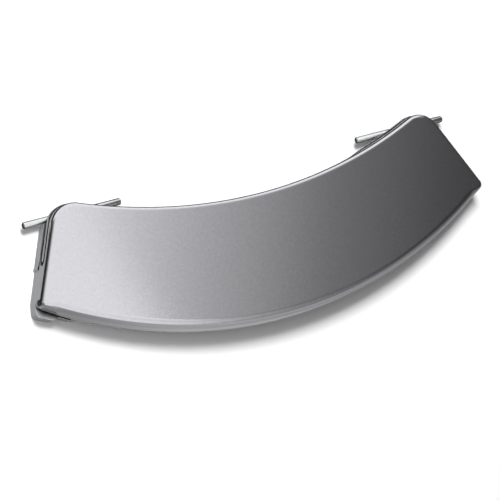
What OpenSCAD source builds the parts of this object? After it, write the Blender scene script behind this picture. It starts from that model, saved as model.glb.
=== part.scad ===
// Crescent door handle of a front-loading washing machine.
// X runs along the chord, +Y towards the concave edge, +Z out of the lacquered face.
// The origin is at the middle of the footprint, level with the rear flats of the two ends.

/* [Crescent outline] */
// Length of the chord between the two sharp heel corners of the convex edge
chord_l = 232; // [220:1:244]
// Width of the crescent at its middle
mid_w = 55.7; // [52:0.1:60]
// Radius of the concave edge
concave_r = 242.5; // [236:0.5:250]
// Radius of the convex edge
convex_r = 218.3; // [212:0.1:226]
// Splay of each end face from the Y axis, in degrees
end_angle = 25.7; // [22:0.1:29]
// Radius of the corner between an end face and the concave edge
corner_r = 11.1; // [8:0.1:13]
// Radius of the heel corner between an end face and the convex edge
heel_r = 2.5; // [1.5:0.1:3.5]

/* [Front cover] */
// Height from the rear flats to the middle of the face
handle_h = 17.3; // [16:0.1:19]
// How far the face falls from its middle to each heel
bow = 4.1; // [2:0.1:5]
// Thickness of the face
face_t = 1.8; // [1.4:0.1:2]
// Thickness of the skirt and of the lip
wall = 2; // [1.6:0.1:2.6]
// Radius of the rounded edge between the face and its walls
edge_r = 1.6; // [0.8:0.1:2]
// Depth of the skirt along the convex edge, below the middle of the face
skirt_h = 9.1; // [8:0.1:10]
// How far the skirt leans outwards at its rear edge
skirt_lean = 0.3; // [0:0.1:1]
// Depth of the lip along the ends and the concave edge, below the face there
lip_h = 2.1; // [2:0.1:3]

/* [Rear body] */
// Gap between the body's rim and the inside of the skirt
rim_gap = 0.15; // [0.1:0.05:0.4]
// Thickness of the grip plate
plate_t = 2.2; // [1.8:0.1:3]
// Height of the grip plate's rear above the rear flats
grip_z = 6.2; // [5.8:0.1:6.8]
// Thickness of the body's inner walls
body_wall = 2; // [1.4:0.1:2.6]
// Thickness of the ribs inside the body
rib_t = 1.4; // [1:0.1:2]
// Number of bays between the ribs along the grip plate
bays = 10; // [6:2:14]
// How far the grip plate is set back from the concave edge
set_back = 5; // [3:0.5:7]
// How far the body stands back from the cover's outline under the lip
shadow_step = 0.1; // [0.05:0.05:0.4]
// Thickness of the gusset plate behind each end
gusset_t = 1.6; // [1.2:0.1:1.8]
// Height of the gusset plate's rear above the rear flats
gusset_z = 7; // [6.8:0.1:7.4]
// How far the gusset plate stands out of the concave edge at the corner
gusset_out = 0.5; // [0.2:0.1:1]
// Slope of the gusset's free edge, in degrees
gusset_angle = 18; // [16:0.5:22]
// Width of each end block, square to its end face
block_w = 19.5; // [17:0.5:22]
// Wall of the end blocks
block_wall = 2.2; // [1.6:0.1:2.8]
// Number of pockets in the rear of each end block
pockets = 3; // [2:1:4]

/* [Lug arm and slot] */
// Distance of the slot's closed end from the heel, along the end face
slot_start = 17.6; // [16:0.1:22]
// Depth of the slot, square to the end face
slot_depth = 4.5; // [3:0.5:6]
// Opening between the lug arm and the gusset
slot_mouth = 2; // [1.6:0.1:2.4]
// Height of the groove in front of the gusset's tongue
tongue_gap = 1.5; // [1:0.1:1.6]
// Distance of the lug arm's tip from the pin's axis
saddle = 1.2; // [0.8:0.1:1.4]
// Radius of the lug arm's tip
tip_r = 3; // [1:0.1:4]
// How far the lug arm stands out of the end face
arm_out = 0.3; // [0.1:0.1:0.8]
// How far the ridge at the foot of the arm stands out of the end face
ridge_h = 0.6; // [0.4:0.1:1]
// Width of the ridge
ridge_w = 2.4; // [2:0.2:4]
// How far the foot of each end block stands out of the convex edge
foot_out = 0.4; // [0.3:0.1:1]
// Height of that foot above the rear flats
foot_h = 4.5; // [3:0.1:5]
// How far the stop lobe stands out of the convex edge, at the left heel
lobe_out = 3.4; // [2:0.1:4.5]
// Length of the stop lobe along the convex edge
lobe_l = 12; // [8:0.5:13]
// Height of the stop lobe's front above the rear flats
lobe_h = 6; // [3:0.1:7]
// Radius of the stop lobe's corners
lobe_r = 2.5; // [1:0.1:3]

/* [Hinge pins] */
// Diameter of each pin
pin_d = 3; // [2.8:0.1:3.2]
// Length of each pin
pin_l = 47.8; // [42:0.1:52]
// Height of the pin's axis above the rear flats
pin_z = 4.2; // [4:0.1:4.6]
// Distance of the pin's axis from the sharp corner, along the end face
pin_drop = 7.8; // [7:0.1:8.6]
// How far the pin stands out of the end face
pin_out = 10.5; // [8:0.5:13]
// Chamfer at the pin's ends
pin_chamfer = 0.4; // [0.2:0.1:0.6]
// Width of the groove round each pin, just outside the end face
groove_w = 0.8; // [0.6:0.1:1]
// Depth of that groove
groove_d = 0.4; // [0.3:0.1:0.6]
// Distance of that groove from the end face
groove_out = 0.5; // [0.4:0.1:0.8]
// Running clearance round the pin, on the radius
pin_gap = 0.05; // [0.02:0.01:0.08]
// Length of the closed eye that holds the pin
eye_l = 6.2; // [4:0.2:7]
// Wall of the eye round its bore
eye_wall = 1.1; // [0.8:0.1:1.4]
// Distance of the eye from the end face, along the pin
eye_in = 6; // [5.5:0.5:8]

/* [Hidden] */

// Steps along each arc, round each corner and round the face's edge
arc_steps = 22;
corner_steps = 12;
edge_steps = 5;
// Facets of a long arc and of a bore
long_fn = 720;
bore_fn = 48;
// Reach of a tool that cuts past a surface
past = 1;
// Smallest radius left in a corner that is set in
min_r = 0.1;
// Ground colours of the two plastics and of the pins
lacquer = [0.72, 0.72, 0.73];
body_grey = [0.52, 0.52, 0.53];
steel = [0.8, 0.82, 0.84];

half_l = chord_l / 2;
// Outward and lengthwise directions of the right end face
out_dir = [cos(end_angle), sin(end_angle)];
up_dir = [-sin(end_angle), cos(end_angle)];
concave_c = [0, concave_r];
convex_c = [0, convex_r - mid_w];
heel = [half_l, convex_c.y - sqrt(convex_r ^ 2 - half_l ^ 2)];

// Distance along up_dir from point p to a circle of radius r about c
function reach(p, c, r) =
    let (q = p - c, b = q * up_dir) -b - sqrt(b ^ 2 - q * q + r ^ 2);
// Centres of the two corner arcs of the right end
corner_c = let (p = heel - corner_r * out_dir)
    p + reach(p, concave_c, concave_r + corner_r) * up_dir;
function heel_centre(r) = let (p = heel - r * out_dir)
    p + reach(p, convex_c, convex_r - r) * up_dir;
heel_c = heel_centre(heel_r);
// How far the skirt turns up the end face at the heel, with its clearance
heel_s = (heel_c - heel) * up_dir + wall / 4 + rim_gap;
top_s = reach(heel, concave_c, concave_r);
top_y = corner_c.y + corner_r + gusset_out;
low_y = -mid_w - skirt_lean;
origin_y = (top_y + low_y) / 2;

// The face is part of a cylinder whose axis lies along Y
bow_r = (half_l ^ 2 + bow ^ 2) / (2 * bow);
function face_z(x) = handle_h - bow_r + sqrt(bow_r ^ 2 - x ^ 2);

// Pin and eye positions, on the right side
pin_s = top_s - pin_drop;
pin_y = heel.y + pin_s * up_dir.y;
end_x = heel.x + pin_s * up_dir.x;
pin_x1 = end_x + pin_out;
pin_x0 = pin_x1 - pin_l;
bore_r = pin_d / 2 + pin_gap;
eye_r = bore_r + eye_wall;

// Rear edge of the skirt
skirt_z = handle_h - skirt_h;
// Front of the groove round the tongue, where the body's rim begins
rim_z = gusset_z + gusset_t + tongue_gap;
// Solid depth behind each end face, which holds the slot
arm_d = slot_depth + body_wall;
// Top of the lug arm
arm_y = pin_y - saddle;

// Angle of the direction from a to b
function heading(a, b) = atan2(b.y - a.y, b.x - a.x);
function on_arc(c, r, a) = c + r * [cos(a), sin(a)];
function mirrored(p) = [-p.x, p.y];

// Right half of the concave side from the middle out, ending on the end face
function upper_half(inset) =
    let (
        a_end = heading(concave_c, corner_c),
        b_start = heading(corner_c, concave_c)
    )
    concat(
        [for (i = [0 : arc_steps]) on_arc(concave_c, concave_r + inset,
            -90 + (a_end + 90) * i / arc_steps)],
        [for (i = [1 : corner_steps]) on_arc(corner_c, corner_r - inset,
            b_start + (end_angle - b_start) * i / corner_steps)]
    );

// Right half of the convex side from the middle out, ending a step up the end face
function lower_half(inset, lean = 0) =
    let (
        r = max(heel_r, inset + min_r),
        c = heel_centre(r),
        a_end = heading(convex_c, c)
    )
    concat(
        [for (i = [0 : arc_steps]) on_arc(convex_c, convex_r - inset + lean,
            -90 + (a_end + 90) * i / arc_steps)],
        [for (i = [1 : corner_steps - 1]) on_arc(c, r - inset + lean,
            a_end + (end_angle - a_end) * i / (corner_steps - 1))],
        [c + (r - inset) * out_dir + wall / 4 * up_dir]
    );

// A whole side, from the right end to the left
function side(half) = concat(
    [for (i = [len(half) - 1 : -1 : 0]) half[i]],
    [for (i = [1 : len(half) - 1]) mirrored(half[i])]
);
half_n = arc_steps + corner_steps;
side_n = 2 * half_n + 1;
function outline(inset) = concat(
    side(upper_half(inset)),
    [for (i = [side_n - 1 : -1 : 0]) side(lower_half(inset))[i]]
);

// One ring of the cover: its outline at an inset, each point drop below the face,
// or down at the skirt's rear edge where deep is true
function ring(inset, drop, lean = 0) = concat(
    [for (p = side(upper_half(inset))) [p.x, p.y, face_z(p.x) - drop]],
    [for (i = [side_n - 1 : -1 : 0])
        let (p = side(lower_half(inset, lean))[i]) [p.x, p.y, face_z(p.x) - drop]]
);
// Rear edge of the cover: lip under the concave side and ends, skirt under the convex side
function rear_ring(inset, lean) = [
    for (i = [0 : 2 * side_n - 1])
        let (
            p = ring(inset, lip_h, lean)[i],
            k = abs(i - side_n - half_n),
            is_skirt = i >= side_n && k < half_n
        )
        [p.x, p.y, is_skirt ? skirt_z : p.z]
];

// Closed skin through rings of equal length, capped across each end
module ring_loft(rings) {
    n = len(rings[0]);
    m = n / 2;
    last = (len(rings) - 1) * n;
    // A cap joins the two sides of a ring by a strip of triangles
    function cap(at, flip) = [
        for (i = [0 : m - 2])
            let (a = at + i, b = at + i + 1, c = at + n - 1 - i, d = at + n - 2 - i)
            each flip ? [[a, c, b], [b, c, d]] : [[a, b, c], [b, d, c]]
    ];
    walls = [
        for (r = [0 : len(rings) - 2], i = [0 : n - 1])
            let (j = (i + 1) % n, a = r * n)
            each [[a + i, a + n + i, a + j], [a + j, a + n + i, a + n + j]]
    ];
    polyhedron(
        points = [for (r = rings) each r],
        faces = concat(cap(0, false), walls, cap(last, true))
    );
}

// Everything is drawn about the lowest point of the concave edge, then set on the origin
module set_on_origin() {
    translate([0, -origin_y, 0]) children();
}

module both_ends() {
    children();
    mirror([1, 0, 0]) children();
}

// Frame of the right end face: X out of it, Y along it from the heel
module at_end() {
    translate([heel.x, heel.y, 0]) rotate([0, 0, end_angle]) children();
}

module at_end_flat() {
    translate(heel) rotate(end_angle) children();
}

// Space under a surface that lies depth below the face
module under_face(depth) {
    translate([0, -chord_l, handle_h - bow_r]) rotate([-90, 0, 0])
        cylinder(r = bow_r - depth, h = 2 * chord_l, $fn = 4 * long_fn);
}

module front_cover() {
    inner_edge = max(edge_r - wall, 0);
    color(lacquer) set_on_origin() ring_loft(concat(
        [ring(wall + inner_edge, face_t)],
        [rear_ring(wall, skirt_lean)],
        [rear_ring(0, skirt_lean)],
        [for (i = [0 : edge_steps])
            let (a = 90 * i / edge_steps)
            ring(edge_r * (1 - cos(a)), edge_r * (1 - sin(a)))]
    ));
}

// Outline of the body behind the lip, kept inside the skirt
module rim_outline(inset) {
    intersection() {
        polygon(outline(inset));
        inside_skirt();
    }
}

// Everything on the inner side of the skirt and of its turned ends
module inside_skirt() {
    difference() {
        translate(convex_c) circle(r = convex_r - wall - rim_gap, $fn = long_fn);
        both_ends() at_end_flat() translate([-wall - rim_gap, -corner_r])
            square([corner_r, corner_r + heel_s]);
    }
}

// Outline of the gusset plates, with their sloping free edges
module gusset_outline() {
    r = corner_r + gusset_out;
    touch = corner_c + r * [-sin(gusset_angle), cos(gusset_angle)];
    intersection() {
        polygon(outline(-gusset_out));
        both_ends_kept(shadow_step);
        both_ends() intersection() {
            translate(touch) rotate(gusset_angle) translate([-half_l, -mid_w])
                square([chord_l, mid_w]);
            translate([mid_w / 2, -corner_r]) square([chord_l, mid_w]);
        }
    }
}

// Outline of the grip plate: flush with the skirt, set back from the concave edge
module grip_outline() {
    difference() {
        union() {
            polygon(outline(shadow_step));
            intersection() {
                translate(convex_c) circle(r = convex_r + skirt_lean, $fn = long_fn);
                both_ends_kept(heel_r);
            }
        }
        translate(concave_c) circle(r = concave_r + set_back, $fn = long_fn);
    }
}

// Grip plate with its rim and ribs, which reach up to the rear of the lip
module tray() {
    intersection() {
        difference() {
            union() {
                translate([0, 0, rim_z]) linear_extrude(handle_h - rim_z)
                    rim_outline(shadow_step);
                translate([0, 0, grip_z]) linear_extrude(rim_z - grip_z + past / 2)
                    intersection() {
                        grip_outline();
                        inside_skirt();
                    }
                translate([0, 0, grip_z]) linear_extrude(skirt_z - rim_gap - grip_z)
                    grip_outline();
            }
            translate([0, 0, grip_z + plate_t]) linear_extrude(handle_h) bays_outline();
        }
        under_face(lip_h + shadow_step);
    }
}

// Crescent with sharp corners, set in from its convex edge, concave edge and ends
module sharp_outline(low_inset, high_inset) {
    difference() {
        intersection() {
            translate(convex_c) circle(r = convex_r - low_inset, $fn = long_fn);
            both_ends_kept(arm_d);
        }
        translate(concave_c) circle(r = concave_r + high_inset, $fn = long_fn);
    }
}

// Wedge between the two end faces, set in from each
module both_ends_kept(inset) {
    low = heel - inset * out_dir - mid_w * 2 * up_dir;
    high = heel - inset * out_dir + mid_w * 2 * up_dir;
    polygon([low, high, mirrored(high), mirrored(low)]);
}

// Hollow bays between the rim, the middle rib and the cross ribs
module bays_outline() {
    rib_r = concave_r + mid_w / 2;
    rib_angle = 2 * asin((half_l - block_w) / rib_r) / bays;
    difference() {
        sharp_outline(wall + rim_gap + body_wall, set_back + body_wall);
        translate(concave_c) difference() {
            circle(r = rib_r + rib_t / 2, $fn = long_fn);
            circle(r = rib_r - rib_t / 2, $fn = long_fn);
        }
        for (i = [-bays / 2 : bays / 2])
            translate(concave_c) rotate(i * rib_angle)
                translate([-rib_t / 2, -concave_r - 2 * mid_w])
                    square([rib_t, 2 * mid_w]);
    }
}

// Side view of an end block, in Y and Z, with a round tip behind the pin
module block_profile() {
    difference() {
        translate([-2 * mid_w, 0]) square([2 * mid_w + arm_y, rim_z + past / 2]);
        translate([arm_y - tip_r, -past]) difference() {
            square([tip_r + past, tip_r + past]);
            translate([0, tip_r + past]) circle(r = tip_r, $fn = bore_fn);
        }
    }
}

// Cross-section of an end block: its inner side runs into the grip plate in a cove
module cove_profile() {
    difference() {
        translate([-block_w - grip_z, 0]) square([block_w + grip_z + past, rim_z + past]);
        translate([-block_w - grip_z, 0]) circle(r = grip_z, $fn = bore_fn * 2);
    }
}

// Foot of the end block, a little proud of the convex edge
module block_foot() {
    linear_extrude(foot_h) intersection() {
        translate(convex_c) circle(r = convex_r + foot_out, $fn = long_fn);
        at_end_flat() translate([-block_w + body_wall, -corner_r])
            square([block_w - body_wall - heel_r, corner_r * 2]);
    }
}

// Stop lobe at the left heel, proud of the convex edge
module stop_lobe() {
    r_out = convex_r + lobe_out - lobe_r;
    a_heel = heading(convex_c, heel);
    step = 180 / PI / convex_r;
    mirror([1, 0, 0]) linear_extrude(lobe_h) hull() {
        translate(on_arc(convex_c, r_out, a_heel - lobe_r * 1.4 * step))
            circle(r = lobe_r, $fn = 32);
        translate(on_arc(convex_c, r_out - foot_out, a_heel - (lobe_l - lobe_r * 1.4) * step))
            circle(r = lobe_r, $fn = 32);
        translate(on_arc(convex_c, convex_r - lobe_r * 2, a_heel - lobe_l * step))
            circle(r = lobe_r, $fn = 32);
        translate(heel_c) circle(r = heel_r - shadow_step, $fn = 32);
    }
}

// Solid shape of the right end block, before its pockets, slot and bore
module block_solid() {
    intersection() {
        union() {
            linear_extrude(skirt_z - rim_gap) polygon(outline(shadow_step));
            linear_extrude(rim_z + past / 2) rim_outline(shadow_step);
            arm_face();
        }
        rotate([90, 0, 90]) linear_extrude(chord_l) block_profile();
        at_end() translate([0, 2 * mid_w, 0]) rotate([90, 0, 0])
            linear_extrude(4 * mid_w) cove_profile();
    }
}

// Pad that carries the lug arm out of the end face, with a round ridge across its foot
module arm_face() {
    pad_h = gusset_z - slot_mouth;
    ridge_r = (ridge_h ^ 2 + (ridge_w / 2) ^ 2) / (2 * ridge_h);
    at_end() {
        translate([-past, slot_start, 0]) cube([past + arm_out, mid_w, pad_h]);
        translate([ridge_h - ridge_r, slot_start, 0])
            cylinder(r = ridge_r, h = pad_h, $fn = bore_fn);
    }
}

// Pockets that open to the rear between the block's walls and its cross ribs
module block_pockets() {
    pocket_y = pin_y - bore_r - block_wall;
    translate([0, 0, -past]) linear_extrude(gusset_z - plate_t + past) difference() {
        intersection() {
            sharp_outline(block_wall, block_wall);
            translate([0, pocket_y - 2 * mid_w]) square([chord_l, 2 * mid_w]);
            at_end_flat() translate([-block_w + block_wall, -mid_w])
                square([block_w - block_wall - arm_d, 2 * mid_w]);
        }
        at_end_flat() for (i = [1 : pockets - 1])
            translate([-chord_l, i * pin_s / pockets - rib_t / 2]) square([2 * chord_l, rib_t]);
    }
}

// Slot round the gusset's tongue, cut in from the end face
module tongue_slot() {
    mouth_z = gusset_z - slot_mouth;
    groove_z = gusset_z + gusset_t;
    mid_z = gusset_z + gusset_t / 2;
    open_s = top_s + past;
    at_end() translate([-slot_depth, 0, 0]) rotate([90, 0, 90])
        linear_extrude(slot_depth + 2 * past) difference() {
            polygon([
                [slot_start, groove_z], [slot_start + slot_mouth / 2, mouth_z + slot_mouth / 2],
                [slot_start + slot_mouth * 1.5, mouth_z], [open_s, mouth_z], [open_s, rim_z],
                [slot_start + slot_mouth, rim_z]
            ]);
            polygon([
                [slot_start + slot_mouth, mid_z], [slot_start + slot_mouth * 1.5, gusset_z],
                [open_s + past, gusset_z], [open_s + past, groove_z],
                [slot_start + slot_mouth * 1.5, groove_z]
            ]);
        }
}

// Closed eye that carries the pin, hung from the gusset
module pin_eye() {
    translate([end_x - eye_in - eye_l, pin_y, pin_z]) {
        rotate([0, 90, 0]) cylinder(r = eye_r, h = eye_l, $fn = bore_fn);
        translate([0, -eye_r, 0]) cube([eye_l, 2 * eye_r, gusset_z + gusset_t / 2 - pin_z]);
    }
}

module rear_body() {
    color(body_grey) set_on_origin() difference() {
        union() {
            tray();
            translate([0, 0, gusset_z]) linear_extrude(gusset_t) gusset_outline();
            both_ends() {
                block_solid();
                block_foot();
                pin_eye();
            }
            stop_lobe();
        }
        both_ends() {
            block_pockets();
            tongue_slot();
            translate([0, pin_y, pin_z]) rotate([0, 90, 0])
                cylinder(r = bore_r, h = chord_l, $fn = bore_fn);
        }
    }
}

// Hinge pin on the right side, turned about its own axis, with chamfered ends
module hinge_pin() {
    r = pin_d / 2;
    groove = pin_l - pin_out + groove_out;
    translate([pin_x0, pin_y, pin_z]) rotate([0, 90, 0]) rotate_extrude($fn = bore_fn)
        polygon([
            [0, 0], [r - pin_chamfer, 0], [r, pin_chamfer],
            [r, groove], [r - groove_d, groove], [r - groove_d, groove + groove_w],
            [r, groove + groove_w],
            [r, pin_l - pin_chamfer], [r - pin_chamfer, pin_l], [0, pin_l]
        ]);
}

module right_hinge_pin() {
    color(steel) set_on_origin() hinge_pin();
}

module left_hinge_pin() {
    color(steel) set_on_origin() mirror([1, 0, 0]) hinge_pin();
}

front_cover();
rear_body();
left_hinge_pin();
right_hinge_pin();
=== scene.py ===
from math import atan2, cos, pi, radians, sin, sqrt

import bmesh
import bpy
from mathutils import Matrix, Vector


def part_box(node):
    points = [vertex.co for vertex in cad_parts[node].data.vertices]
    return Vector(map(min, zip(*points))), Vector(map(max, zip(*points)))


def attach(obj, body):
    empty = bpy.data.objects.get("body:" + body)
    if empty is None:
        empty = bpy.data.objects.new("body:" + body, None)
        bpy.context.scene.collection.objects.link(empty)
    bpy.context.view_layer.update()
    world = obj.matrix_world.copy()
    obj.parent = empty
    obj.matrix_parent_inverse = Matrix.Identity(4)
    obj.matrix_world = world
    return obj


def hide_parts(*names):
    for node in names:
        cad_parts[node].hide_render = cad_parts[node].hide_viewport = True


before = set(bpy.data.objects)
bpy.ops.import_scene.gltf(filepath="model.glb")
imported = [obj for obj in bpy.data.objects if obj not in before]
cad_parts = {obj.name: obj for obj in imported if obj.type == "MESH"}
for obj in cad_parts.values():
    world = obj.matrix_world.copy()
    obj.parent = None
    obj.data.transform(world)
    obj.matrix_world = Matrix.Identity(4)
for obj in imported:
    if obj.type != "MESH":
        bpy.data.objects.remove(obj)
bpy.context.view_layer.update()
scene = bpy.context.scene
scene.view_settings.view_transform = "Standard"
mm = 0.001      # the pieces are drawn in millimetres, then scaled to metres
tiny = 0.0001   # millimetres: points this close are one
near = 0.01     # millimetres: points this close to a line lie on it


def addNode(tree, kind, **settings):
    node = tree.nodes.new(kind)
    for key, value in settings.items():
        if hasattr(node, key):
            setattr(node, key, value)
        else:
            node.inputs[key].default_value = value
    return node


def plug(tree, source, target):
    tree.links.new(source, target)


def newGroup(name, inputs, outputs):
    group = bpy.data.node_groups.new(name, "ShaderNodeTree")
    for label, value in inputs.items():
        socket = group.interface.new_socket(name=label, in_out="INPUT",
                                            socket_type="NodeSocketFloat")
        socket.default_value = value
    for label, kind in outputs.items():
        group.interface.new_socket(name=label, in_out="OUTPUT", socket_type=kind)
    return group, group.nodes.new("NodeGroupInput"), group.nodes.new("NodeGroupOutput")


def useGroup(tree, group, values):
    node = tree.nodes.new("ShaderNodeGroup")
    node.node_tree = group
    for label, value in values.items():
        node.inputs[label].default_value = value
    return node


def newMaterial(name):
    material = bpy.data.materials.new(name)
    material.use_nodes = True
    tree = material.node_tree
    return material, tree, tree.nodes["Principled BSDF"]


def mathNode(tree, operation, a, b, clamp=False):
    node = tree.nodes.new("ShaderNodeMath")
    node.operation = operation
    node.use_clamp = clamp
    for index, value in enumerate((a, b)):
        if isinstance(value, (int, float)):
            node.inputs[index].default_value = value
        else:
            plug(tree, value, node.inputs[index])
    return node.outputs[0]


def mixColour(tree, mask, a, b):  # a where the mask is 0, b where it is 1
    node = addNode(tree, "ShaderNodeMix", data_type="RGBA")
    plug(tree, mask, node.inputs["Factor"])
    for label, colour in (("A", a), ("B", b)):
        if isinstance(colour, tuple):
            node.inputs[label].default_value = (*colour, 1)
        else:
            plug(tree, colour, node.inputs[label])
    return node.outputs["Result"]


def shadeColour(tree, colour, shade):  # lighter or darker by a shade that varies about 0
    node = tree.nodes.new("ShaderNodeHueSaturation")
    plug(tree, colour, node.inputs["Color"])
    plug(tree, mathNode(tree, "ADD", shade, 1.0), node.inputs["Value"])
    return node.outputs[0]


def varyRoughness(tree, shader, base, mask, added):
    rise = mathNode(tree, "MULTIPLY", mask, added)
    plug(tree, mathNode(tree, "ADD", rise, base), shader.inputs["Roughness"])


def bumpSurface(tree, shader, height, bump):
    node = addNode(tree, "ShaderNodeBump", **bump)
    plug(tree, height, node.inputs["Height"])
    plug(tree, node.outputs[0], shader.inputs["Normal"])


def buildFlakes():  # fine sparkle and soft mottling of a metallic lacquer
    group, ins, outs = newGroup(
        "metalFlakes", {"Scale": 8000.0, "Tilt": 0.03, "Mottle Scale": 900.0, "Spread": 0.2},
        {"Normal": "NodeSocketVector", "Shade": "NodeSocketFloat"})
    coords = group.nodes.new("ShaderNodeTexCoord")
    cells = addNode(group, "ShaderNodeTexVoronoi", feature="F1")
    plug(group, coords.outputs["Object"], cells.inputs["Vector"])
    plug(group, ins.outputs["Scale"], cells.inputs["Scale"])
    centred = addNode(group, "ShaderNodeVectorMath", operation="SUBTRACT")
    plug(group, cells.outputs["Color"], centred.inputs[0])
    centred.inputs[1].default_value = (0.5, 0.5, 0.5)
    tilted = addNode(group, "ShaderNodeVectorMath", operation="SCALE")
    plug(group, centred.outputs[0], tilted.inputs[0])
    plug(group, ins.outputs["Tilt"], tilted.inputs["Scale"])
    geometry = group.nodes.new("ShaderNodeNewGeometry")
    added = addNode(group, "ShaderNodeVectorMath", operation="ADD")
    plug(group, geometry.outputs["Normal"], added.inputs[0])
    plug(group, tilted.outputs[0], added.inputs[1])
    unit = addNode(group, "ShaderNodeVectorMath", operation="NORMALIZE")
    plug(group, added.outputs[0], unit.inputs[0])
    plug(group, unit.outputs[0], outs.inputs["Normal"])
    mottle = addNode(group, "ShaderNodeTexNoise", Detail=3.0, Roughness=0.7)
    plug(group, coords.outputs["Object"], mottle.inputs["Vector"])
    plug(group, ins.outputs["Mottle Scale"], mottle.inputs["Scale"])
    offset = mathNode(group, "SUBTRACT", mottle.outputs["Fac"], 0.5)
    plug(group, mathNode(group, "MULTIPLY", offset, ins.outputs["Spread"]), outs.inputs["Shade"])
    return group


def buildGrain():  # fine even texture of a moulded surface, with broad faint clouds
    group, ins, outs = newGroup(
        "mouldGrain", {"Scale": 1400.0, "Cloud Scale": 28.0, "Clouding": 0.12},
        {"Height": "NodeSocketFloat", "Shade": "NodeSocketFloat"})
    coords = group.nodes.new("ShaderNodeTexCoord")
    fine = addNode(group, "ShaderNodeTexNoise", Detail=3.0, Roughness=0.6)
    plug(group, coords.outputs["Object"], fine.inputs["Vector"])
    plug(group, ins.outputs["Scale"], fine.inputs["Scale"])
    plug(group, fine.outputs["Fac"], outs.inputs["Height"])
    broad = addNode(group, "ShaderNodeTexNoise", Detail=4.0, Roughness=0.55)
    plug(group, coords.outputs["Object"], broad.inputs["Vector"])
    plug(group, ins.outputs["Cloud Scale"], broad.inputs["Scale"])
    offset = mathNode(group, "SUBTRACT", broad.outputs["Fac"], 0.5)
    plug(group, mathNode(group, "MULTIPLY", offset, ins.outputs["Clouding"]), outs.inputs["Shade"])
    return group


def buildEdgeWearAndGlint():  # mask of rubbed edges, from the angle between the true and the rounded normal; it carries wear, and on the moulding also a painted highlight
    group, ins, outs = newGroup(
        "edgeWearAndGlint", {"Reach": 0.0005, "Amount": 3.0, "Patch Scale": 260.0},
        {"Mask": "NodeSocketFloat"})
    rounded = group.nodes.new("ShaderNodeBevel")
    rounded.samples = 4
    plug(group, ins.outputs["Reach"], rounded.inputs["Radius"])
    geometry = group.nodes.new("ShaderNodeNewGeometry")
    dot = addNode(group, "ShaderNodeVectorMath", operation="DOT_PRODUCT")
    plug(group, rounded.outputs[0], dot.inputs[0])
    plug(group, geometry.outputs["Normal"], dot.inputs[1])
    edge = mathNode(group, "SUBTRACT", 1.0, dot.outputs["Value"], clamp=True)
    coords = group.nodes.new("ShaderNodeTexCoord")
    patchy = addNode(group, "ShaderNodeTexNoise", Detail=4.0, Roughness=0.65)
    plug(group, coords.outputs["Object"], patchy.inputs["Vector"])
    plug(group, ins.outputs["Patch Scale"], patchy.inputs["Scale"])
    broken = mathNode(group, "MULTIPLY", edge, patchy.outputs["Fac"])
    wornAndGlint = mathNode(group, "MULTIPLY", broken, ins.outputs["Amount"], clamp=True)
    plug(group, wornAndGlint, outs.inputs["Mask"])
    return group


def buildPaintedCreviceShade():  # mask of narrow gaps from ambient occlusion, for painted shade where little light reaches
    group, ins, outs = newGroup(
        "creviceShade", {"Reach": 0.004, "Start": 0.22, "Amount": 8.0},
        {"Mask": "NodeSocketFloat"})
    free = addNode(group, "ShaderNodeAmbientOcclusion", samples=8, only_local=True)
    plug(group, ins.outputs["Reach"], free.inputs["Distance"])
    shut = mathNode(group, "SUBTRACT", 1.0, free.outputs["AO"], clamp=True)
    past = mathNode(group, "SUBTRACT", shut, ins.outputs["Start"], clamp=True)
    dark = mathNode(group, "MULTIPLY", past, ins.outputs["Amount"], clamp=True)
    plug(group, dark, outs.inputs["Mask"])
    return group


flakes = buildFlakes()
grain = buildGrain()
edgeWearAndGlint = buildEdgeWearAndGlint()
paintedCreviceShade = buildPaintedCreviceShade()


lacquerLook = {
    "base": (0.755, 0.75, 0.785),
    "wornAndGlint": (0.82, 0.82, 0.81),
    "metallic": 1.0,
    "roughness": 0.12,
    "wornRoughness": 0.15,     # added to it on rubbed edges
    "coat": 0.25,
    "coatRoughness": 0.06,
    "flakes": {"Scale": 8000.0, "Tilt": 0.03, "Mottle Scale": 900.0, "Spread": 0.2},
    "wearAndGlint": {"Reach": 0.0004, "Amount": 2.1},
}


def lacquerMaterial():
    material, tree, shader = newMaterial("silverLacquer")
    look = lacquerLook
    flake = useGroup(tree, flakes, look["flakes"])
    wearAndGlint = useGroup(tree, edgeWearAndGlint, look["wearAndGlint"]).outputs["Mask"]
    tone = mixColour(tree, wearAndGlint, look["base"], look["wornAndGlint"])
    plug(tree, shadeColour(tree, tone, flake.outputs["Shade"]), shader.inputs["Base Color"])
    plug(tree, flake.outputs["Normal"], shader.inputs["Normal"])
    varyRoughness(tree, shader, look["roughness"], wearAndGlint, look["wornRoughness"])
    shader.inputs["Metallic"].default_value = look["metallic"]
    shader.inputs["Coat Weight"].default_value = look["coat"]
    shader.inputs["Coat Roughness"].default_value = look["coatRoughness"]
    return material


mouldingLook = {
    "base": (0.32, 0.323, 0.333),
    # lighter edges: partly wear, partly a painted highlight along the edges and corners
    "wornAndGlint": (0.62, 0.62, 0.63),
    # painted shade: the colour taken on in narrow gaps and the slot
    "deep": (0.004, 0.004, 0.004),
    "roughness": 0.42,
    "deepRoughness": 0.4,      # added to it in the gaps
    "shine": 0.3,
    "grain": {"Scale": 1400.0, "Clouding": 0.12},
    "wearAndGlint": {"Reach": 0.0005, "Amount": 4.8},
    "paintedGapShade": {"Reach": 0.004, "Start": 0.22, "Amount": 8.0},
    "bump": {"Strength": 0.25, "Distance": 0.00004},
}


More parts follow.
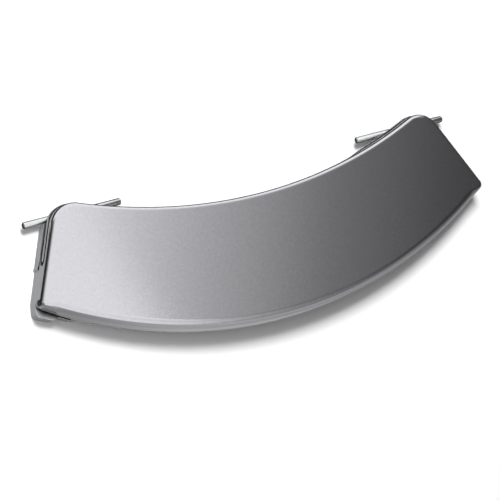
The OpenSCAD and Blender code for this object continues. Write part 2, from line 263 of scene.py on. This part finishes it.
def mouldingMaterial():
    material, tree, shader = newMaterial("greyMoulding")
    look = mouldingLook
    mould = useGroup(tree, grain, look["grain"])
    wearAndGlint = useGroup(tree, edgeWearAndGlint, look["wearAndGlint"]).outputs["Mask"]
    paintedGapShade = useGroup(tree, paintedCreviceShade, look["paintedGapShade"]).outputs["Mask"]
    tone = mixColour(tree, wearAndGlint, look["base"], look["wornAndGlint"])
    shaded = shadeColour(tree, tone, mould.outputs["Shade"])
    # painted shade: the colour goes near-black in the gaps
    plug(tree, mixColour(tree, paintedGapShade, shaded, look["deep"]), shader.inputs["Base Color"])
    bumpSurface(tree, shader, mould.outputs["Height"], look["bump"])
    varyRoughness(tree, shader, look["roughness"], paintedGapShade, look["deepRoughness"])
    shader.inputs["Specular IOR Level"].default_value = look["shine"]
    return material


steelLook = {
    "base": (0.93, 0.95, 0.95),
    "dull": (0.72, 0.74, 0.74),
    "dullShare": 0.45,
    "cloudScale": 220.0,
    "metallic": 1.0,
    "roughness": 0.18,
    "lineRoughness": 0.12,     # added to it along the drawn lines
    "lineScale": 120.0,
    "lineStretch": (1, 40, 40),
    "bump": {"Strength": 0.3, "Distance": 0.00002},
}


def steelMaterial():
    material, tree, shader = newMaterial("zincSteel")
    look = steelLook
    coords = tree.nodes.new("ShaderNodeTexCoord")
    stretch = tree.nodes.new("ShaderNodeMapping")
    stretch.inputs["Scale"].default_value = look["lineStretch"]
    plug(tree, coords.outputs["Object"], stretch.inputs["Vector"])
    lines = addNode(tree, "ShaderNodeTexNoise", Scale=look["lineScale"], Detail=3.0, Roughness=0.6)
    plug(tree, stretch.outputs[0], lines.inputs["Vector"])
    cloud = addNode(tree, "ShaderNodeTexNoise", Scale=look["cloudScale"], Detail=5.0, Roughness=0.6)
    plug(tree, coords.outputs["Object"], cloud.inputs["Vector"])
    dullness = mathNode(tree, "MULTIPLY", cloud.outputs["Fac"], look["dullShare"])
    tone = mixColour(tree, dullness, look["base"], look["dull"])
    plug(tree, tone, shader.inputs["Base Color"])
    bumpSurface(tree, shader, lines.outputs["Fac"], look["bump"])
    varyRoughness(tree, shader, look["roughness"], lines.outputs["Fac"], look["lineRoughness"])
    shader.inputs["Metallic"].default_value = look["metallic"]
    return material


silverLacquer = lacquerMaterial()
greyMoulding = mouldingMaterial()
zincSteel = steelMaterial()
print("finishes ready")


def meshFrom(bm, name):
    mesh = bpy.data.meshes.new(name)
    bm.to_mesh(mesh)
    bm.free()
    return mesh


def smoothPiece(name, mesh, material, smoothAngle):  # smooth, with edges past the angle kept sharp
    for polygon in mesh.polygons:
        polygon.use_smooth = True
    mesh.set_sharp_from_angle(angle=radians(smoothAngle))
    mesh.materials.clear()
    mesh.materials.append(material)
    piece = bpy.data.objects.new(name, mesh)
    scene.collection.objects.link(piece)
    return piece


outline = {                  # millimetres, drawn about the lowest point of the concave edge
    "chord": 232.0,
    "midWidth": 55.7,
    "concaveRadius": 242.5,
    "convexRadius": 218.3,
    "endAngle": 25.7,
    "cornerRadius": 11.1,
    "heelRadius": 2.5,
    "originY": -19.4429,     # the frame's origin, from that point
}

cover = {                    # millimetres
    "height": 17.3,
    "bow": 4.1,
    "wall": 1.8,
    "edgeRadius": 1.6,
    "edgeSteps": 7,
    "frontRadius": 3.6,      # wider rounding along the convex edge
    "frontFade": 7.0,        # length over which it narrows towards each heel
    "skirtDepth": 9.1,
    "skirtLean": 0.3,
    "lipDepth": 2.1,
    "rim": 2.1,              # flat ring kept round the face, inside its rounded edge
    "rimSlack": 0.3,
    "concaveSteps": 40,
    "cornerSteps": 20,
    "heelSteps": 10,
    "convexSteps": 44,
    "slices": 56,            # cuts across each half, which let the face bow
    "sliver": 0.25,          # points closer than this are merged after the cuts
    "smoothAngle": 35,
}

halfChord = outline["chord"] / 2
endAngle = radians(outline["endAngle"])
outward = Vector((cos(endAngle), sin(endAngle), 0))
upward = Vector((-sin(endAngle), cos(endAngle), 0))
concaveCentre = Vector((0, outline["concaveRadius"], 0))
convexCentre = Vector((0, outline["convexRadius"] - outline["midWidth"], 0))
heelDrop = sqrt(outline["convexRadius"] ** 2 - halfChord ** 2)
heel = Vector((halfChord, convexCentre.y - heelDrop, 0))
bowRadius = (halfChord ** 2 + cover["bow"] ** 2) / (2 * cover["bow"])


def alongEnd(start, centre, radius):  # from start, up the end face, to a circle
    q = start - centre
    b = q.dot(upward)
    return start + upward * (-b - sqrt(b * b - q.dot(q) + radius * radius))


def heading(a, b):
    return atan2(b.y - a.y, b.x - a.x)


def fall(x):  # of the bowed face, from the middle
    return sqrt(bowRadius ** 2 - x * x) - bowRadius


cornerCentre = alongEnd(heel - outward * outline["cornerRadius"], concaveCentre,
                        outline["concaveRadius"] + outline["cornerRadius"])
heelCentre = alongEnd(heel - outward * outline["heelRadius"], convexCentre,
                      outline["convexRadius"] - outline["heelRadius"])


def sweep(bm, vertex, centre, angle, steps):
    swept = bmesh.ops.spin(bm, geom=[vertex], cent=centre, axis=(0, 0, 1), angle=angle,
                           steps=steps)
    return [v for v in swept["geom_last"] if isinstance(v, bmesh.types.BMVert)][0]


def coverFace(bm):  # the flat crescent, one half drawn by spins and then mirrored
    first = bm.verts.new((0, 0, 0))
    concaveTurn = heading(concaveCentre, cornerCentre) + pi / 2
    last = sweep(bm, first, concaveCentre, concaveTurn, cover["concaveSteps"])
    cornerTurn = endAngle - heading(cornerCentre, concaveCentre)
    last = sweep(bm, last, cornerCentre, cornerTurn, cover["cornerSteps"])
    low = bm.verts.new(heelCentre + outward * outline["heelRadius"])
    bm.edges.new((last, low))
    heelEnd = heading(convexCentre, heelCentre)
    last = sweep(bm, low, heelCentre, heelEnd - endAngle, cover["heelSteps"])
    last = sweep(bm, last, convexCentre, -pi / 2 - heelEnd, cover["convexSteps"])
    bm.edges.new((last, first))
    bmesh.ops.contextual_create(bm, geom=bm.edges[:])
    for i in range(1, cover["slices"]):
        bmesh.ops.bisect_plane(bm, geom=bm.verts[:] + bm.edges[:] + bm.faces[:], dist=tiny,
                               plane_co=(halfChord * i / cover["slices"], 0, 0), plane_no=(1, 0, 0))
    bmesh.ops.remove_doubles(bm, verts=bm.verts[:], dist=cover["sliver"])
    bmesh.ops.mirror(bm, geom=bm.verts[:] + bm.edges[:] + bm.faces[:], axis="X",
                     merge_dist=10 * tiny)
    bmesh.ops.recalc_face_normals(bm, faces=bm.faces[:])
    if bm.faces[0].normal.z < 0:
        bmesh.ops.reverse_faces(bm, faces=bm.faces[:])


def onSkirt(edge):  # on the convex edge or round a heel
    for v in edge.verts:
        side = Vector((abs(v.co.x), v.co.y, 0))
        onArc = abs((side - convexCentre).length - outline["convexRadius"]) < near
        onHeel = (side - heelCentre).length < outline["heelRadius"] + near
        if not (onArc or onHeel):
            return False
    return True


def extrudeDown(bm, edges, depth):
    made = bmesh.ops.extrude_edge_only(bm, edges=edges)["geom"]
    newVerts = [v for v in made if isinstance(v, bmesh.types.BMVert)]
    bmesh.ops.translate(bm, verts=newVerts, vec=(0, 0, -depth))
    return newVerts, [e for e in made if isinstance(e, bmesh.types.BMEdge)]


def widenFront(bm):  # the rounding along the convex edge grows away from the heels
    r, wide = cover["edgeRadius"], cover["frontRadius"]
    heelTurn = atan2(heelCentre.x, convexCentre.y - heelCentre.y)
    for v in bm.verts:
        away = Vector((v.co.x, v.co.y, 0)) - convexCentre
        inset, depth = outline["convexRadius"] - away.length, -v.co.z
        onFace = inset > cover["rim"] + cover["rimSlack"]
        onWall = depth > cover["lipDepth"] + near
        inside = inset > 5 * near and depth > r + near
        if onFace or onWall or inside:
            continue
        turn = heelTurn - abs(atan2(away.x, -away.y))
        share = min(1, max(0, turn * outline["convexRadius"] / cover["frontFade"]))
        grow = (wide / r - 1) * share * share * (3 - 2 * share)
        v.co -= away.normalized() * grow * min(max(inset, 0), r)
        v.co.z -= grow * min(depth, r)


def buildCover():
    bm = bmesh.new()
    coverFace(bm)
    bmesh.ops.inset_region(bm, faces=bm.faces[:], thickness=cover["rim"], use_even_offset=True,
                           use_boundary=True)
    rim = [e for e in bm.edges if e.is_boundary]
    lipEdges = extrudeDown(bm, rim, cover["lipDepth"])[1]
    lower = [e for e in lipEdges if onSkirt(e)]
    skirtVerts = extrudeDown(bm, lower, cover["skirtDepth"] - cover["lipDepth"])[0]
    for v in skirtVerts:
        away = v.co - convexCentre
        away.z = 0
        v.co += away.normalized() * cover["skirtLean"]
    skirtFoot = min(v.co.z for v in skirtVerts)
    bmesh.ops.recalc_face_normals(bm, faces=bm.faces[:])
    if sum(f.normal.z for f in bm.faces) < 0:
        bmesh.ops.reverse_faces(bm, faces=bm.faces[:])
    bmesh.ops.solidify(bm, geom=bm.faces[:], thickness=cover["wall"])
    sharpTop = [e for e in bm.edges
                if all(abs(v.co.z) < tiny for v in e.verts)
                and len(e.link_faces) == 2 and e.calc_face_angle() > 1]
    bmesh.ops.bevel(bm, geom=sharpTop, offset=cover["edgeRadius"], offset_type="OFFSET",
                    segments=cover["edgeSteps"], profile=0.5, affect="EDGES", material=-1,
                    clamp_overlap=False)
    widenFront(bm)
    for v in bm.verts:  # the face bows, and the skirt's foot stays level
        share = min(1, max(0, (v.co.z - skirtFoot) / (-cover["lipDepth"] - skirtFoot)))
        v.co.z += cover["height"] + fall(v.co.x) * share
        v.co.y -= outline["originY"]
    bmesh.ops.scale(bm, verts=bm.verts[:], vec=(mm, mm, mm))
    mesh = meshFrom(bm, "lacquered_cover")
    piece = smoothPiece("lacquered_cover", mesh, silverLacquer, cover["smoothAngle"])
    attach(piece, "handle")
    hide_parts("front_cover")
    return piece


coverPiece = buildCover()
print("front cover", len(coverPiece.data.polygons), "faces")


body = {
    "edgeWidth": 0.2,        # millimetres, rounding of the moulded edges
    "edgeAngle": 32,
    "edgeSteps": 2,
    "flatAngle": 0.5,        # degrees, below which neighbouring triangles are one face
    "smoothAngle": 25,
}


def buildBody():
    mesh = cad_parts["rear_body"].data.copy()
    mesh.name = "grip_moulding"
    bm = bmesh.new()
    bm.from_mesh(mesh)
    bmesh.ops.remove_doubles(bm, verts=bm.verts[:], dist=10 * tiny * mm)
    bmesh.ops.dissolve_limit(bm, angle_limit=radians(body["flatAngle"]), verts=bm.verts[:],
                             edges=bm.edges[:])
    bm.to_mesh(mesh)
    bm.free()
    piece = smoothPiece("grip_moulding", mesh, greyMoulding, body["smoothAngle"])
    rounding = piece.modifiers.new("rounding", "BEVEL")
    rounding.width = body["edgeWidth"] * mm
    rounding.segments = body["edgeSteps"]
    rounding.limit_method = "ANGLE"
    rounding.angle_limit = radians(body["edgeAngle"])
    rounding.harden_normals = True
    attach(piece, "handle")
    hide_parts("rear_body")
    return piece


bodyPiece = buildBody()
print("rear body", len(bodyPiece.data.polygons), "faces")


pins = {                     # millimetres
    "radius": 1.5,
    "chamfer": 0.4,
    "softening": 0.08,       # rounding of the chamfer's edges
    "sides": 48,
    "smoothAngle": 50,
}


def buildPin(name, node, rider, side):
    low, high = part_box(node)
    length = (high.x - low.x) / mm
    r, chamfer, soft = pins["radius"], pins["chamfer"], pins["softening"]
    tip = [(0, 0), (r - chamfer - soft, 0), (r - chamfer, soft),
           (r - soft, chamfer - soft), (r, chamfer + soft)]
    profile = tip + [(y, length - x) for y, x in reversed(tip)]
    bm = bmesh.new()
    line = [bm.verts.new((x, 0, y)) for y, x in profile]
    for a, b in zip(line, line[1:]):
        bm.edges.new((a, b))
    bmesh.ops.spin(bm, geom=bm.verts[:] + bm.edges[:], cent=(0, 0, 0), axis=(1, 0, 0),
                   angle=2 * pi, steps=pins["sides"], use_merge=True)
    bmesh.ops.remove_doubles(bm, verts=bm.verts[:], dist=tiny)
    bmesh.ops.recalc_face_normals(bm, faces=bm.faces[:])
    bmesh.ops.scale(bm, verts=bm.verts[:], vec=(side * mm, mm, mm))
    if side < 0:
        bmesh.ops.reverse_faces(bm, faces=bm.faces[:])
    start = low.x if side > 0 else high.x
    bmesh.ops.translate(bm, verts=bm.verts[:],
                        vec=(start, (low.y + high.y) / 2, (low.z + high.z) / 2))
    piece = smoothPiece(name, meshFrom(bm, name), zincSteel, pins["smoothAngle"])
    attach(piece, rider)
    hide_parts(node)


buildPin("left_steel_pin", "left_hinge_pin", "left_pin", -1)
buildPin("right_steel_pin", "right_hinge_pin", "right_pin", 1)
print("pins ready")


cameraPlace = {
    "matrix": ((0.845858, 0.230934, -0.480827, -0.60366),
               (-0.287710, 0.956578, -0.046700, -0.06118),
               (0.449164, 0.177840, 0.875571, 1.09043),
               (0, 0, 0, 1)),
    "lens": 201.6,
    "sensor": 36,
    "farthest": 10,
}

cameraData = bpy.data.cameras.new("studioCamera")
cameraData.lens = cameraPlace["lens"]
cameraData.sensor_width = cameraPlace["sensor"]
cameraData.clip_end = cameraPlace["farthest"]
camera = bpy.data.objects.new("studioCamera", cameraData)
camera.matrix_world = Matrix(cameraPlace["matrix"])
scene.collection.objects.link(camera)
scene.camera = camera


studio = {
    "white": (1, 1, 1, 1),
    "worldLight": 0.12,      # on the object and the floor
    "worldSeen": 1.0,        # to the camera and in reflections
    "floorSize": 8,
    "floorTone": 0.8,
    "floorLift": 0.04,       # light that the floor gives itself where it is seen directly
    "farLift": 1.0,          # more of it far from the object, past the lamps' reach
    "farStart": 0.17,
    "farEnd": 0.8,
}

lamps = {                    # each is square and points at the origin
    "keyLamp": {"place": (-0.15, 0.6, 1.1), "size": 0.45, "power": 21.0},
    "fillLamp": {"place": (-0.8, 0.05, 0.9), "size": 0.8, "power": 4.0},
}


def seenDirectly(tree):  # 1 for camera, glossy and transmission rays
    path = tree.nodes.new("ShaderNodeLightPath")
    both = mathNode(tree, "MAXIMUM", path.outputs["Is Camera Ray"], path.outputs["Is Glossy Ray"])
    return mathNode(tree, "MAXIMUM", both, path.outputs["Is Transmission Ray"])


def buildWorld():
    world = bpy.data.worlds.new("studioWorld")
    scene.world = world
    world.use_nodes = True
    tree = world.node_tree
    light = tree.nodes["Background"]
    seen = tree.nodes.new("ShaderNodeBackground")
    for node, strength in ((light, studio["worldLight"]), (seen, studio["worldSeen"])):
        node.inputs["Color"].default_value = studio["white"]
        node.inputs["Strength"].default_value = strength
    mixed = tree.nodes.new("ShaderNodeMixShader")
    plug(tree, seenDirectly(tree), mixed.inputs[0])
    plug(tree, light.outputs[0], mixed.inputs[1])
    plug(tree, seen.outputs[0], mixed.inputs[2])
    plug(tree, mixed.outputs[0], tree.nodes["World Output"].inputs["Surface"])


def flatPiece(name, width, depth, material):
    bm = bmesh.new()
    bmesh.ops.create_grid(bm, x_segments=1, y_segments=1, size=0.5)
    bmesh.ops.scale(bm, verts=bm.verts[:], vec=(width, depth, 1))
    mesh = meshFrom(bm, name)
    mesh.materials.append(material)
    piece = bpy.data.objects.new(name, mesh)
    scene.collection.objects.link(piece)
    return piece


def floorMaterial():  # white to the eye, with the object's shadow kept
    material, tree, shader = newMaterial("studioFloor")
    tree.nodes.remove(shader)
    dull = tree.nodes.new("ShaderNodeBsdfDiffuse")
    dull.inputs["Color"].default_value = (*[studio["floorTone"]] * 3, 1)
    coords = tree.nodes.new("ShaderNodeTexCoord")
    distance = addNode(tree, "ShaderNodeVectorMath", operation="LENGTH")
    plug(tree, coords.outputs["Object"], distance.inputs[0])
    lift = tree.nodes.new("ShaderNodeMapRange")
    plug(tree, distance.outputs["Value"], lift.inputs["Value"])
    lift.inputs["From Min"].default_value = studio["farStart"]
    lift.inputs["From Max"].default_value = studio["farEnd"]
    lift.inputs["To Min"].default_value = studio["floorLift"]
    lift.inputs["To Max"].default_value = studio["farLift"]
    glow = tree.nodes.new("ShaderNodeEmission")
    glow.inputs["Color"].default_value = studio["white"]
    strength = mathNode(tree, "MULTIPLY", seenDirectly(tree), lift.outputs["Result"])
    plug(tree, strength, glow.inputs["Strength"])
    both = tree.nodes.new("ShaderNodeAddShader")
    plug(tree, dull.outputs[0], both.inputs[0])
    plug(tree, glow.outputs[0], both.inputs[1])
    plug(tree, both.outputs[0], tree.nodes["Material Output"].inputs["Surface"])
    return material


def areaLamp(name, lamp):  # lights the floor and the moulding, and isn't mirrored in metal
    data = bpy.data.lights.new(name, "AREA")
    data.shape = "SQUARE"
    data.size = lamp["size"]
    data.energy = lamp["power"]
    piece = bpy.data.objects.new(name, data)
    piece.location = lamp["place"]
    piece.rotation_euler = (-Vector(lamp["place"])).to_track_quat("-Z", "Y").to_euler()
    scene.collection.objects.link(piece)
    piece.visible_glossy = False


buildWorld()
flatPiece("studioFloor", studio["floorSize"], studio["floorSize"], floorMaterial())
for name, lamp in lamps.items():
    areaLamp(name, lamp)


cards = {                    # seen in reflections only; each one's grey changes along its width
    "gradientCard": {        # darkens from left to right over the face
        "place": (0.581, -0.051, 0.8), "size": (0.8, 0.85), "turn": (0, 0, -36),
        "stops": ((0, 0.8), (0.16, 0.48), (0.37, 0.185), (0.6, 0.072), (1, 0.02))},
    "brightCard": {          # its edge crosses the face near the left end
        "place": (-0.171, 0.081, 0.79), "size": (0.7, 1.16), "turn": (0, 0, 22.5),
        "stops": ((0, 0.65), (0.4, 0.85), (0.8, 0.93), (1, 0.93))},
    "leftCard": {            # dark line along the left end
        "place": (-0.725, 0.435, 0.395), "size": (0.91, 0.63), "turn": (0, -60.3, 0),
        "stops": ((0, 0.05), (0.25, 0.1), (0.45, 0.18), (0.6, 0.3), (0.8, 0.47), (1, 0.65))},
    "heelCard": {            # the same for the left heel; the gap between them lights the pin's tip
        "place": (-0.725, -0.755, 0.395), "size": (0.91, 1.59), "turn": (0, -60.3, 0),
        "stops": ((0, 0.05), (0.25, 0.1), (0.45, 0.18), (0.6, 0.3), (0.8, 0.47), (1, 0.65))},
    "frontSkyCard": {        # rounding of the convex edge
        "place": (0.275, -0.7, 0.78), "size": (1.95, 1.1), "turn": (0, 0, 0),
        "stops": ((0.38, 0.87), (0.45, 0.78), (0.51, 0.52), (0.57, 0.34), (0.67, 0.25),
                  (0.77, 0.19), (1, 0.1))},
    "creaseCard": {          # start of that rounding, beside the face
        "place": (0.275, -0.285, 0.77), "size": (1.95, 0.27), "turn": (0, 0, 0),
        "stops": ((0.38, 0.87), (0.46, 0.7), (0.51, 0.46), (0.6, 0.22), (0.67, 0.13),
                  (0.73, 0.07), (0.85, 0.04))},
    "frontCard": {           # lower part of that rounding
        "place": (0.35, -1.25, 0.39), "size": (2.3, 0.78), "turn": (90, 0, 0),
        "stops": ((0.2, 0.28), (0.3, 0.38), (0.4, 0.44), (0.5, 0.46), (0.6, 0.4), (0.9, 0.33))},
    "rightCard": {           # dark crease along the right half of the convex edge
        "place": (1.3, -0.175, 0.6), "size": (2.15, 1.2), "turn": (90, 0, 90),
        "stops": ((0, 0.3), (0.14, 0.24), (0.23, 0.15), (0.3, 0.09), (0.4, 0.05), (0.6, 0.07))},
    "frontFloorCard": {      # skirt along the convex edge
        "place": (0.3, -1.0, 0.0003), "size": (1.6, 2.0), "turn": (0, 0, 0),
        "stops": ((0.24, 0.27), (0.26, 0.34), (0.28, 0.43), (0.31, 0.4), (0.34, 0.33), (0.4, 0.3))},
    "rightFloorCard": {      # dark right end
        "place": (1.1, 0.6, 0.0003), "size": (1.97, 1.2), "turn": (0, 0, 0),
        "stops": ((0, 0.08), (1, 0.08))},
    "leftFloorCard": {       # dark lip at the left end
        "place": (-1.1, 0.59, 0.0004), "size": (1.96, 1.2), "turn": (0, 0, 0),
        "stops": ((0, 0.02), (1, 0.02))},
    "backFloorCard": {       # dark line outside the highlight along the concave edge
        "place": (0, 0.9, 0.0002), "size": (1.2, 1.8), "turn": (0, 0, 0),
        "stops": ((0, 0.05), (1, 0.05))},
}


def cardMaterial(name, stops):
    material, tree, shader = newMaterial(name)
    tree.nodes.remove(shader)
    coords = tree.nodes.new("ShaderNodeTexCoord")
    parts = tree.nodes.new("ShaderNodeSeparateXYZ")
    plug(tree, coords.outputs["Generated"], parts.inputs[0])
    ramp = tree.nodes.new("ShaderNodeValToRGB")
    while len(ramp.color_ramp.elements) < len(stops):
        ramp.color_ramp.elements.new(0.5)
    for element, (place, value) in zip(ramp.color_ramp.elements, stops):
        element.position = place
        element.color = (value, value, value, 1)
    plug(tree, parts.outputs["X"], ramp.inputs[0])
    glow = tree.nodes.new("ShaderNodeEmission")
    plug(tree, ramp.outputs[0], glow.inputs["Color"])
    plug(tree, glow.outputs[0], tree.nodes["Material Output"].inputs["Surface"])
    return material


def glossCard(name, card):
    piece = flatPiece(name, *card["size"], cardMaterial(name, card["stops"]))
    piece.location = card["place"]
    piece.rotation_euler = [radians(a) for a in card["turn"]]
    piece.visible_camera = False
    piece.visible_diffuse = False
    piece.visible_shadow = False
    piece.visible_transmission = False


for name, card in cards.items():
    glossCard(name, card)
print("studio ready")
